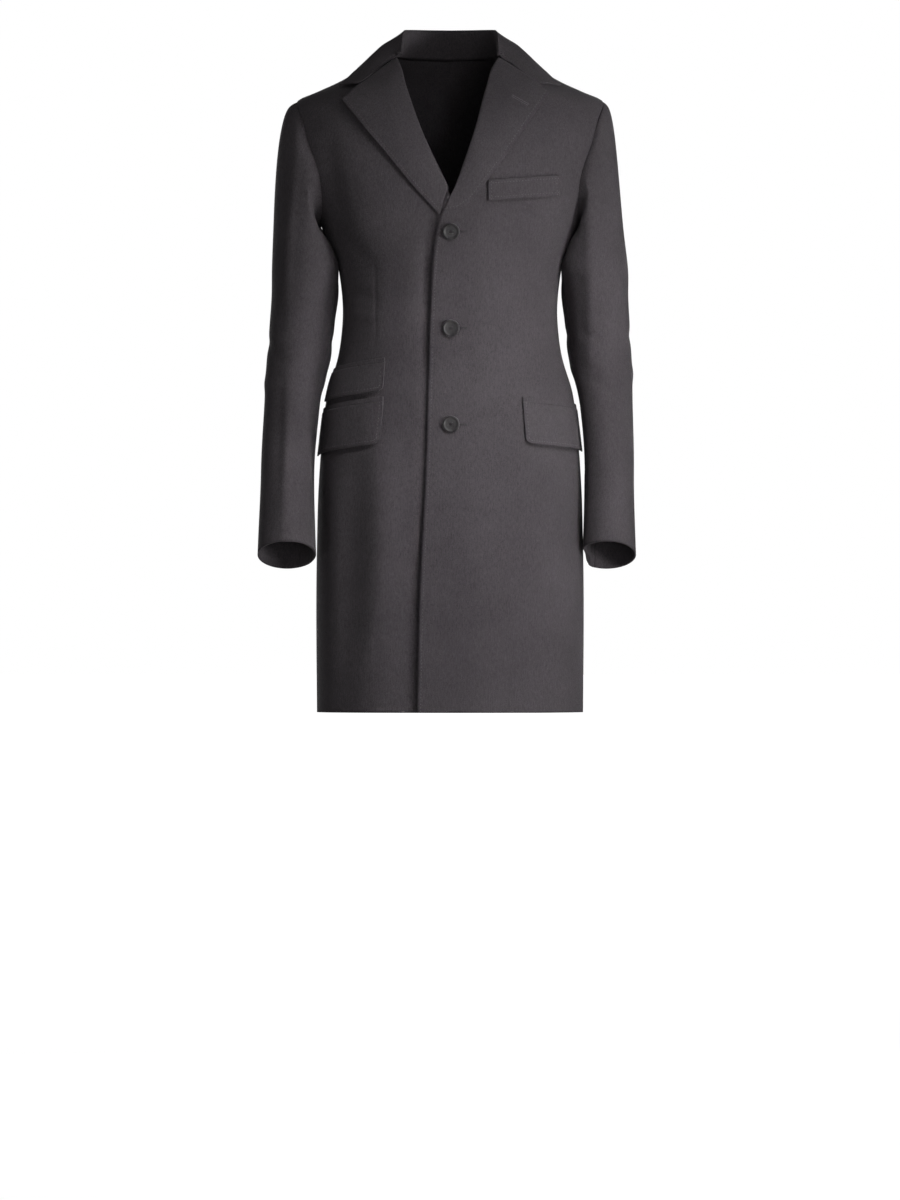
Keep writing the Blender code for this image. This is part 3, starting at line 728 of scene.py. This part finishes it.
@dataclass
class Button:
    """Turned four-hole horn button with its thread and shank, where the CAD button sits."""

    number: int
    hole_radius: float = 0.0010
    hole_offset: float = 0.0021
    drill_depth: float = 0.02
    thread_radius: float = 0.00030
    thread_offsets: tuple[float, ...] = (-0.00052, 0.0, 0.00052)
    thread_lift: float = 0.00016
    thread_arch: float = 0.0005
    thread_dip: float = 0.0012
    shank_radius: float = 0.0016
    shank_length: float = 0.0030
    steps: int = 72
    profile: tuple[tuple[float, float], ...] = (
        (0.0, 0.0030), (0.0070, 0.0030), (0.0083, 0.0031), (0.0090, 0.0034), (0.0095, 0.0039),
        (0.0101, 0.0042), (0.0109, 0.0042), (0.0116, 0.0040), (0.0121, 0.0035), (0.0124, 0.0029),
        (0.0125, 0.0021), (0.0123, 0.0012), (0.0119, 0.0005), (0.0112, 0.0), (0.0, 0.0),
    )

    def place(self) -> Matrix:
        """Find where the CAD button sits.

        Returns:
            A matrix from the button's own frame, foot at its origin and face along its +Z.
        """
        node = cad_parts[f"button_{self.number}"]
        points = np.array([node.matrix_world @ vert.co for vert in node.data.vertices])
        _, axes = np.linalg.eigh(np.cov(points.T))
        facing = Vector(axes[:, 0])
        facing = facing if facing.y < 0.0 else -facing
        across = (Vector((1.0, 0.0, 0.0)) - facing * facing.x).normalized()
        turn = Matrix((across, facing.cross(across), facing)).transposed()
        own = points @ np.array(turn)
        middle = (own.min(axis=0) + own.max(axis=0)) * 0.5
        foot = turn @ Vector((middle[0], middle[1], own.min(axis=0)[2]))
        return Matrix.Translation(foot) @ turn.to_4x4()

    def turned(self) -> bpy.types.Mesh:
        """Spin the profile and drill the four holes.

        Returns:
            The button's mesh in its own frame.
        """
        work = bmesh.new()
        verts = [work.verts.new((radius, 0.0, height)) for radius, height in self.profile]
        edges = [work.edges.new(pair) for pair in zip(verts, verts[1:])]
        bmesh.ops.spin(work, geom=verts + edges, cent=(0.0, 0.0, 0.0), axis=(0.0, 0.0, 1.0),
                       angle=math.tau, steps=self.steps, use_merge=True)
        bmesh.ops.remove_doubles(work, verts=work.verts, dist=MERGE)
        bmesh.ops.recalc_face_normals(work, faces=work.faces)
        solid = self.draft("blank", work)
        drills = bmesh.new()
        for x, y in self.holes():
            bmesh.ops.create_cone(drills, cap_ends=True, segments=20, radius1=self.hole_radius,
                                  radius2=self.hole_radius, depth=self.drill_depth,
                                  matrix=Matrix.Translation((x, y, 0.0)))
        drill = self.draft("drills", drills)
        cut = solid.modifiers.new("holes", "BOOLEAN")
        cut.operation = "DIFFERENCE"
        cut.object = drill
        mesh = Shell.evaluated(solid)
        for draft in (solid, drill):
            bpy.data.objects.remove(draft)
        mesh.shade_smooth()
        mesh.set_sharp_from_angle(angle=TURNED_ANGLE)
        return mesh

    @staticmethod
    def draft(name: str, work: bmesh.types.BMesh) -> bpy.types.Object:
        """Make a working object that is removed again.

        Args:
            name: Its name.
            work: Its shape, which is freed.

        Returns:
            The object.
        """
        mesh = bpy.data.meshes.new(name)
        work.to_mesh(mesh)
        work.free()
        made = bpy.data.objects.new(name, mesh)
        bpy.context.scene.collection.objects.link(made)
        return made

    def holes(self) -> list[tuple[float, float]]:
        """Middles of the four holes, in order round the button."""
        return [(self.hole_offset * x, self.hole_offset * y) for x, y in ((1, 1), (-1, 1), (-1, -1), (1, -1))]

    def build(self) -> None:
        """Build the button and sew it on."""
        place = self.place()
        mesh = self.turned()
        mesh.name = f"button_{self.number}_horn"
        mesh.transform(place)
        mesh.materials.clear()
        mesh.materials.append(HORN.material())
        piece = bpy.data.objects.new(mesh.name, mesh)
        bpy.context.scene.collection.objects.link(piece)
        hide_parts(f"button_{self.number}")
        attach(piece, BODY)
        self.sew(place)

    def sew(self, place: Matrix) -> None:
        """Thread crossed over the face and a shank behind.

        Args:
            place: Where the button sits.
        """
        threads = ThreadWork(f"button_{self.number}_thread", THREAD)
        holes = self.holes()
        face = self.profile[0][1]
        for rank, (first, second) in enumerate(((holes[0], holes[2]), (holes[1], holes[3]))):
            side = Vector((first[1] - second[1], second[0] - first[0], 0.0)).normalized()
            for offset in self.thread_offsets:
                path = []
                for step in range(13):
                    share = step / 12.0
                    x = first[0] + (second[0] - first[0]) * share
                    y = first[1] + (second[1] - first[1]) * share
                    arch = self.thread_arch * math.sin(math.pi * share) * (1.0 + 0.5 * rank)
                    rise = self.thread_lift + arch
                    dip = self.thread_dip * (abs(2.0 * share - 1.0) ** 12)
                    path.append(place @ (Vector((x, y, face + rise - dip)) + side * offset))
                threads.strand(path, self.thread_radius)
        shank = [place @ Vector((0.0, 0.0, -self.shank_length + self.shank_length * step / 3.0))
                 for step in range(4)]
        threads.strand(shank, self.shank_radius, 16)
        threads.finish_piece()


@dataclass
class Studio:
    """Camera at the photo's angle, a plain pale floor and soft studio light."""

    frame_height: float = 1.752
    eye_height: float = -0.788
    distance: float = 18.0
    near_face: float = -0.07
    floor_height: float = -1.628
    floor_half: float = 120.0
    sensor: float = 36.0

    def build(self) -> None:
        """Set up the camera, floor, lights and background."""
        scene = bpy.context.scene
        scene.view_settings.view_transform = "Standard"
        lens = self.sensor * (self.distance + self.near_face) / self.frame_height
        data = bpy.data.cameras.new("camera")
        data.sensor_fit = "VERTICAL"
        data.sensor_height = self.sensor
        data.sensor_width = self.sensor * 0.75
        data.lens = lens
        data.clip_end = 400.0
        camera = bpy.data.objects.new("camera", data)
        camera.location = (0.0, -self.distance, self.eye_height)
        camera.rotation_euler = (math.radians(90.0), 0.0, 0.0)
        scene.collection.objects.link(camera)
        scene.camera = camera
        self.floor()
        self.light("key", (3.1, -2.4, -0.80), (0.0, 0.0, -0.55), 0.9, 75.0)
        self.light("high", (1.5, -2.6, 1.5), (0.0, 0.0, -0.64), 0.5, 0.85, spread=16.0)
        self.light("front", (0.8, -4.2, -1.10), (0.0, 0.0, -0.60), 1.8, 20.0)
        self.light("fill", (-3.0, -1.6, -0.9), (0.0, 0.0, -0.50), 2.4, 5.0)
        self.light("behind", (-1.6, 4.2, 0.0), (0.0, 0.0, -0.50), 2.0, 55.0)
        self.background()

    def floor(self) -> None:
        """Lay the pale floor."""
        work = bmesh.new()
        bmesh.ops.create_grid(work, x_segments=1, y_segments=1, size=self.floor_half)
        bmesh.ops.translate(work, verts=work.verts, vec=(0.0, 0.0, self.floor_height))
        mesh = bpy.data.meshes.new("floor")
        work.to_mesh(mesh)
        work.free()
        floor = bpy.data.objects.new("floor", mesh)
        bpy.context.scene.collection.objects.link(floor)
        made = bpy.data.materials.new("pale_floor")
        made.use_nodes = True
        nodes = made.node_tree.nodes
        links = made.node_tree.links
        shader = nodes["Principled BSDF"]
        shader.inputs["Base Color"].default_value = (0.55, 0.55, 0.55, 1.0)
        shader.inputs["Roughness"].default_value = 0.9
        shader.inputs["Specular IOR Level"].default_value = 0.0
        shader.inputs["Emission Color"].default_value = (1.0, 1.0, 1.0, 1.0)
        rays = nodes.new("ShaderNodeLightPath")
        place = nodes.new("ShaderNodeTexCoord")
        parts = nodes.new("ShaderNodeSeparateXYZ")
        links.new(place.outputs["Object"], parts.inputs["Vector"])
        fade = nodes.new("ShaderNodeMapRange")
        fade.inputs["From Min"].default_value = -2.0
        fade.inputs["From Max"].default_value = 9.0
        fade.inputs["To Min"].default_value = 0.84
        fade.inputs["To Max"].default_value = 1.0
        links.new(parts.outputs["Y"], fade.inputs["Value"])
        glow = nodes.new("ShaderNodeMath")
        glow.operation = "MULTIPLY"
        links.new(rays.outputs["Is Camera Ray"], glow.inputs[0])
        links.new(fade.outputs["Result"], glow.inputs[1])
        links.new(glow.outputs["Value"], shader.inputs["Emission Strength"])
        mesh.materials.append(made)

    @staticmethod
    def light(name: str, place: tuple[float, float, float], aim: tuple[float, float, float],
              size: float, power: float, spread: float = 180.0) -> None:
        """Add one square soft light.

        Args:
            name: Name of the light.
            place: Where it stands.
            aim: The point it looks at.
            size: Side of the lit square.
            power: Watts.
            spread: Angle of its beam in degrees.
        """
        data = bpy.data.lights.new(name, "AREA")
        data.size = size
        data.spread = math.radians(spread)
        data.energy = power
        lamp = bpy.data.objects.new(name, data)
        lamp.location = place
        lamp.rotation_euler = (Vector(aim) - Vector(place)).to_track_quat("-Z", "Y").to_euler()
        bpy.context.scene.collection.objects.link(lamp)

    @staticmethod
    def background() -> None:
        """White behind the coat, and a weaker grey as ambient light."""
        world = bpy.data.worlds.new("studio")
        bpy.context.scene.world = world
        world.use_nodes = True
        nodes = world.node_tree.nodes
        links = world.node_tree.links
        rays = nodes.new("ShaderNodeLightPath")
        seen = nodes.new("ShaderNodeBackground")
        seen.inputs["Strength"].default_value = 1.0
        seen.inputs["Color"].default_value = (1.0, 1.0, 1.0, 1.0)
        ambient = nodes["Background"]
        ambient.inputs["Color"].default_value = (1.0, 1.0, 1.0, 1.0)
        ambient.inputs["Strength"].default_value = 0.10
        mixed = nodes.new("ShaderNodeMixShader")
        links.new(rays.outputs["Is Camera Ray"], mixed.inputs["Fac"])
        links.new(ambient.outputs["Background"], mixed.inputs[1])
        links.new(seen.outputs["Background"], mixed.inputs[2])
        links.new(mixed.outputs["Shader"], nodes["World Output"].inputs["Surface"])


class Creases:
    """Creases of the cloth by piece, where the photo shows them and alike on the hidden sides."""

    LEFT_FRONT = (
        Crease((0.1090, -0.285), (0.1075, -0.425), 0.0024, -0.0008),
        Crease((0.0510, -0.2100), (0.1620, -0.2008), 0.0026, -0.0022),
        Crease((0.1590, -0.1650), (0.1610, -0.2030), 0.0022, -0.0016),
        Crease((0.0950, -0.5610), (0.1990, -0.5715), 0.0030, -0.0028),
        Crease((-0.0550, -0.2560), (0.0400, -0.2560), 0.0150, 0.0025, Facing.SIDE),
        Crease((0.1780, -0.115), (0.1560, -0.250), 0.0150, -0.0030),
        Crease((0.0350, -0.405), (0.1500, -0.380), 0.0120, -0.0014, bow=0.006),
        Crease((0.0300, -0.375), (0.1450, -0.345), 0.0110, 0.0010, bow=0.005),
        Crease((0.1000, -0.318), (0.1620, -0.338), 0.0090, -0.0014),
        Crease((0.0700, -0.600), (0.0800, -0.945), 0.0240, 0.0018, bow=0.004),
        Crease((0.1180, -0.590), (0.1340, -0.955), 0.0220, -0.0022, bow=-0.005),
        Crease((0.1600, -0.600), (0.1700, -0.950), 0.0140, 0.0020),
        Crease((0.0150, -0.700), (0.0300, -0.950), 0.0180, -0.0012),
    )
    RIGHT_FRONT = (
        Crease((-0.1095, -0.292), (-0.1080, -0.420), 0.0024, -0.0008),
        Crease((-0.1800, -0.105), (-0.1540, -0.262), 0.0160, -0.0042, bow=-0.004),
        Crease((-0.1640, -0.245), (-0.1050, -0.315), 0.0120, -0.0016),
        Crease((-0.1580, -0.335), (-0.1000, -0.352), 0.0085, -0.0015),
        Crease((-0.1560, -0.372), (-0.0950, -0.376), 0.0090, 0.0012),
        Crease((-0.0300, -0.215), (-0.0375, -0.460), 0.0110, -0.0050),
        Crease((-0.0350, -0.400), (-0.0500, -0.950), 0.0065, -0.0018),
        Crease((-0.1990, -0.5755), (-0.0960, -0.5605), 0.0030, -0.0028),
        Crease((-0.1900, -0.5010), (-0.0960, -0.4900), 0.0026, -0.0026),
        Crease((-0.0550, -0.2560), (0.0400, -0.2560), 0.0150, 0.0042, Facing.SIDE),
        Crease((-0.0600, -0.290), (-0.0720, -0.420), 0.0130, 0.0012),
        Crease((-0.0900, -0.572), (-0.1080, -0.830), 0.0200, 0.0030, bow=0.005),
        Crease((-0.1270, -0.570), (-0.1380, -0.890), 0.0200, -0.0032, bow=-0.004),
        Crease((-0.1640, -0.620), (-0.1680, -0.950), 0.0130, 0.0018),
        Crease((-0.0600, -0.680), (-0.0640, -0.945), 0.0200, -0.0014),
    )
    LEFT_BACK = (
        Crease((0.0010, -0.010), (0.0010, -0.600), 0.0030, -0.0010, Facing.BACK),
        Crease((0.1050, -0.110), (0.0780, -0.300), 0.0200, 0.0030, Facing.BACK, 0.006),
        Crease((0.1450, -0.140), (0.1200, -0.330), 0.0150, -0.0032, Facing.BACK),
        Crease((0.0250, -0.385), (0.1250, -0.368), 0.0110, -0.0018, Facing.BACK, 0.006),
        Crease((0.0300, -0.425), (0.1350, -0.418), 0.0120, 0.0014, Facing.BACK, -0.006),
        Crease((0.0750, -0.600), (0.0800, -0.945), 0.0220, -0.0024, Facing.BACK, 0.005),
        Crease((0.1300, -0.580), (0.1380, -0.945), 0.0200, 0.0026, Facing.BACK),
    )
    RIGHT_BACK = (
        Crease((-0.0010, -0.010), (-0.0010, -0.600), 0.0030, -0.0010, Facing.BACK),
        Crease((-0.1080, -0.120), (-0.0820, -0.310), 0.0190, 0.0028, Facing.BACK, -0.005),
        Crease((-0.1480, -0.150), (-0.1180, -0.335), 0.0160, -0.0034, Facing.BACK),
        Crease((-0.0280, -0.372), (-0.1240, -0.360), 0.0110, -0.0020, Facing.BACK, -0.005),
        Crease((-0.0250, -0.414), (-0.1300, -0.402), 0.0120, 0.0014, Facing.BACK, 0.005),
        Crease((-0.0850, -0.610), (-0.0920, -0.945), 0.0230, -0.0022, Facing.BACK, -0.005),
        Crease((-0.1380, -0.590), (-0.1430, -0.945), 0.0190, 0.0026, Facing.BACK),
    )
    LEFT_SLEEVE = (
        Crease((0.2030, -0.175), (0.2060, -0.470), 0.0085, 0.0026),
        Crease((0.1850, -0.392), (0.2380, -0.425), 0.0090, -0.0024, bow=0.003),
        Crease((0.1900, -0.428), (0.2420, -0.456), 0.0085, 0.0016),
        Crease((0.1920, -0.456), (0.2440, -0.492), 0.0090, -0.0022, bow=0.003),
        Crease((0.2050, -0.590), (0.2520, -0.570), 0.0110, -0.0014),
        Crease((0.2120, -0.650), (0.2560, -0.664), 0.0120, 0.0012),
        Crease((0.2300, -0.110), (0.2380, -0.260), 0.0120, -0.0014),
        Crease((-0.0450, -0.425), (0.0350, -0.392), 0.0100, -0.0020, Facing.SIDE, 0.004),
        Crease((-0.0400, -0.470), (0.0320, -0.446), 0.0100, 0.0016, Facing.SIDE),
        Crease((0.1950, -0.400), (0.2560, -0.424), 0.0100, -0.0024, Facing.BACK, 0.004),
        Crease((0.2000, -0.446), (0.2600, -0.462), 0.0100, 0.0018, Facing.BACK),
        Crease((0.2050, -0.490), (0.2600, -0.520), 0.0100, -0.0018, Facing.BACK),
    )
    RIGHT_SLEEVE = (
        Crease((-0.2215, -0.120), (-0.2400, -0.370), 0.0085, 0.0036, bow=-0.003),
        Crease((-0.2365, -0.440), (-0.2400, -0.720), 0.0090, 0.0032),
        Crease((-0.2460, -0.455), (-0.2520, -0.620), 0.0080, -0.0018),
        Crease((-0.2440, -0.405), (-0.1900, -0.372), 0.0090, -0.0026, bow=-0.003),
        Crease((-0.2480, -0.436), (-0.1940, -0.412), 0.0080, 0.0016),
        Crease((-0.2500, -0.472), (-0.1960, -0.440), 0.0090, -0.0024, bow=-0.003),
        Crease((-0.2520, -0.552), (-0.2060, -0.566), 0.0110, -0.0014),
        Crease((-0.2560, -0.655), (-0.2120, -0.640), 0.0120, 0.0012),
        Crease((-0.0650, -0.440), (0.0280, -0.404), 0.0100, -0.0022, Facing.SIDE, 0.004),
        Crease((-0.0640, -0.486), (0.0240, -0.460), 0.0100, 0.0016, Facing.SIDE),
        Crease((-0.2560, -0.436), (-0.1960, -0.412), 0.0100, -0.0026, Facing.BACK, -0.004),
        Crease((-0.2600, -0.478), (-0.2000, -0.458), 0.0100, 0.0018, Facing.BACK),
        Crease((-0.2620, -0.530), (-0.2060, -0.506), 0.0100, -0.0018, Facing.BACK),
    )
    LEFT_UNDER_SLEEVE = LEFT_SLEEVE + (
        Crease((-0.0300, -0.600), (-0.0300, -0.830), 0.0200, 0.0045, Facing.SIDE),
    )
    LEFT_LAPEL = (
        Crease((0.0420, -0.170), (0.0900, -0.030), 0.0130, 0.0012, bow=-0.006),
    )
    RIGHT_LAPEL = (
        Crease((-0.0450, -0.172), (-0.0980, -0.030), 0.0130, 0.0012, bow=0.006),
    )
    LEFT_HIP_FLAP = (
        Crease((0.1250, -0.500), (0.1300, -0.562), 0.0100, 0.0007),
        Crease((0.1500, -0.506), (0.1530, -0.566), 0.0090, -0.0006),
    )
    RIGHT_HIP_FLAP = (
        Crease((-0.1220, -0.503), (-0.1200, -0.566), 0.0100, 0.0007),
        Crease((-0.1480, -0.508), (-0.1500, -0.570), 0.0090, -0.0006),
    )


@dataclass
class Coat:
    """All the cloth of the coat, piece by piece."""

    shells: list[Shell] = field(default_factory=list)

    def build(self) -> None:
        """Build and dress every shell."""
        self.shells = [
            Shell("left_front", (0.43, 0.98), 0.30, 3,
                  creases=Creases.LEFT_FRONT, lined=True, seam_growth=CLOSE,
                  cap_growth=CLOSE),
            Shell("right_front", (0.40, 0.98), 0.285, 3,
                  creases=Creases.RIGHT_FRONT, lined=True, seam_growth=CLOSE,
                  cap_growth=CLOSE),
            Shell("left_back", (0.36, 0.97), 0.25,
                  creases=Creases.LEFT_BACK, lined=True, seam_growth=CLOSE,
                  cap_growth=CLOSE, crisp=True),
            Shell("right_back", (0.31, 0.97), 0.228,
                  creases=Creases.RIGHT_BACK, lined=True, seam_growth=CLOSE,
                  cap_growth=CLOSE, crisp=True),
            Shell("left_top_sleeve", (0.33, 0.70), 0.15, 3,
                  creases=Creases.LEFT_SLEEVE, lined=True, seam_growth=CLOSE,
                  cap_growth=CAP_CLOSE),
            Shell("right_top_sleeve", (0.33, 0.70), 0.15, 3,
                  creases=Creases.RIGHT_SLEEVE, lined=True, seam_growth=CLOSE,
                  cap_growth=CAP_CLOSE),
            Shell("left_under_sleeve", (0.14, 0.56), 0.05, 3,
                  creases=Creases.LEFT_UNDER_SLEEVE, lined=True, seam_growth=CLOSE,
                  cap_growth=CAP_CLOSE),
            Shell("right_under_sleeve", (0.14, 0.56), 0.05, 3,
                  creases=Creases.RIGHT_SLEEVE, lined=True, seam_growth=CLOSE,
                  cap_growth=CAP_CLOSE),
            Shell("collar", (0.45, 0.11), 0.045, sharp_angle=72.0),
            Shell("left_lapel", (0.11, 0.31), 0.0175, levels=3, creases=Creases.LEFT_LAPEL,
                  sharp_angle=72.0),
            Shell("right_lapel", (0.11, 0.32), 0.018, levels=3, creases=Creases.RIGHT_LAPEL,
                  sharp_angle=72.0),
            Shell("chest_welt", (0.112, 0.031), 0.0034, levels=3, held="laid"),
            Shell("left_hip_flap", (0.15, 0.063), 0.0092, levels=3, creases=Creases.LEFT_HIP_FLAP),
            Shell("right_hip_flap", (0.155, 0.063), 0.0096, levels=3, creases=Creases.RIGHT_HIP_FLAP),
            Shell("ticket_flap", (0.13, 0.042), 0.0054, levels=3),
            Shell("left_hip_jet", (0.15, 0.010), 0.00098, levels=3, held="laid"),
            Shell("right_hip_jet", (0.155, 0.010), 0.00102, levels=3, held="laid"),
            Shell("ticket_jet", (0.13, 0.010), 0.00085, levels=3, held="laid"),
        ]
        for shell in self.shells:
            piece = shell.build()
            shell.dress()
            LOG.info("%s: %d faces", piece.name, len(piece.data.polygons))


@dataclass
class Sewing:
    """Edge stitching and buttonholes."""

    edges: dict[str, EdgeSide] = field(default_factory=lambda: {
        "left_front": EdgeSide.FRONT,
        "left_lapel": EdgeSide.FREE,
        "right_lapel": EdgeSide.FREE,
        "collar": EdgeSide.FALL,
        "left_hip_flap": EdgeSide.FREE,
        "right_hip_flap": EdgeSide.FREE,
        "ticket_flap": EdgeSide.FREE,
        "chest_welt": EdgeSide.ALL,
    })
    buttonholes: tuple[Buttonhole, ...] = (
        Buttonhole("buttonhole_1", "left_front", (0.0010, -0.2519), (0.0240, -0.2519)),
        Buttonhole("buttonhole_2", "left_front", (0.0010, -0.3927), (0.0245, -0.3927)),
        Buttonhole("buttonhole_3", "left_front", (0.0010, -0.5329), (0.0245, -0.5329)),
        Buttonhole("lapel_buttonhole", "left_lapel", (0.0905, -0.0525), (0.1139, -0.0657),
                   thread=PICK_THREAD),
    )

    def build(self, coat: Coat) -> None:
        """Sew the coat.

        Args:
            coat: The coat with its finished cloth.
        """
        probe = ClothProbe(coat.shells)
        EdgeStitching(self.edges).build(probe)
        for hole in self.buttonholes:
            hole.build(probe)


def main() -> None:
    """Build the studio and the coat in order."""
    logging.basicConfig(level=logging.INFO, format="%(name)s %(message)s")
    Studio().build()
    coat = Coat()
    coat.build()
    Sewing().build(coat)
    for number in (1, 2, 3):
        Button(number).build()


if __name__ == "__main__":
    main()
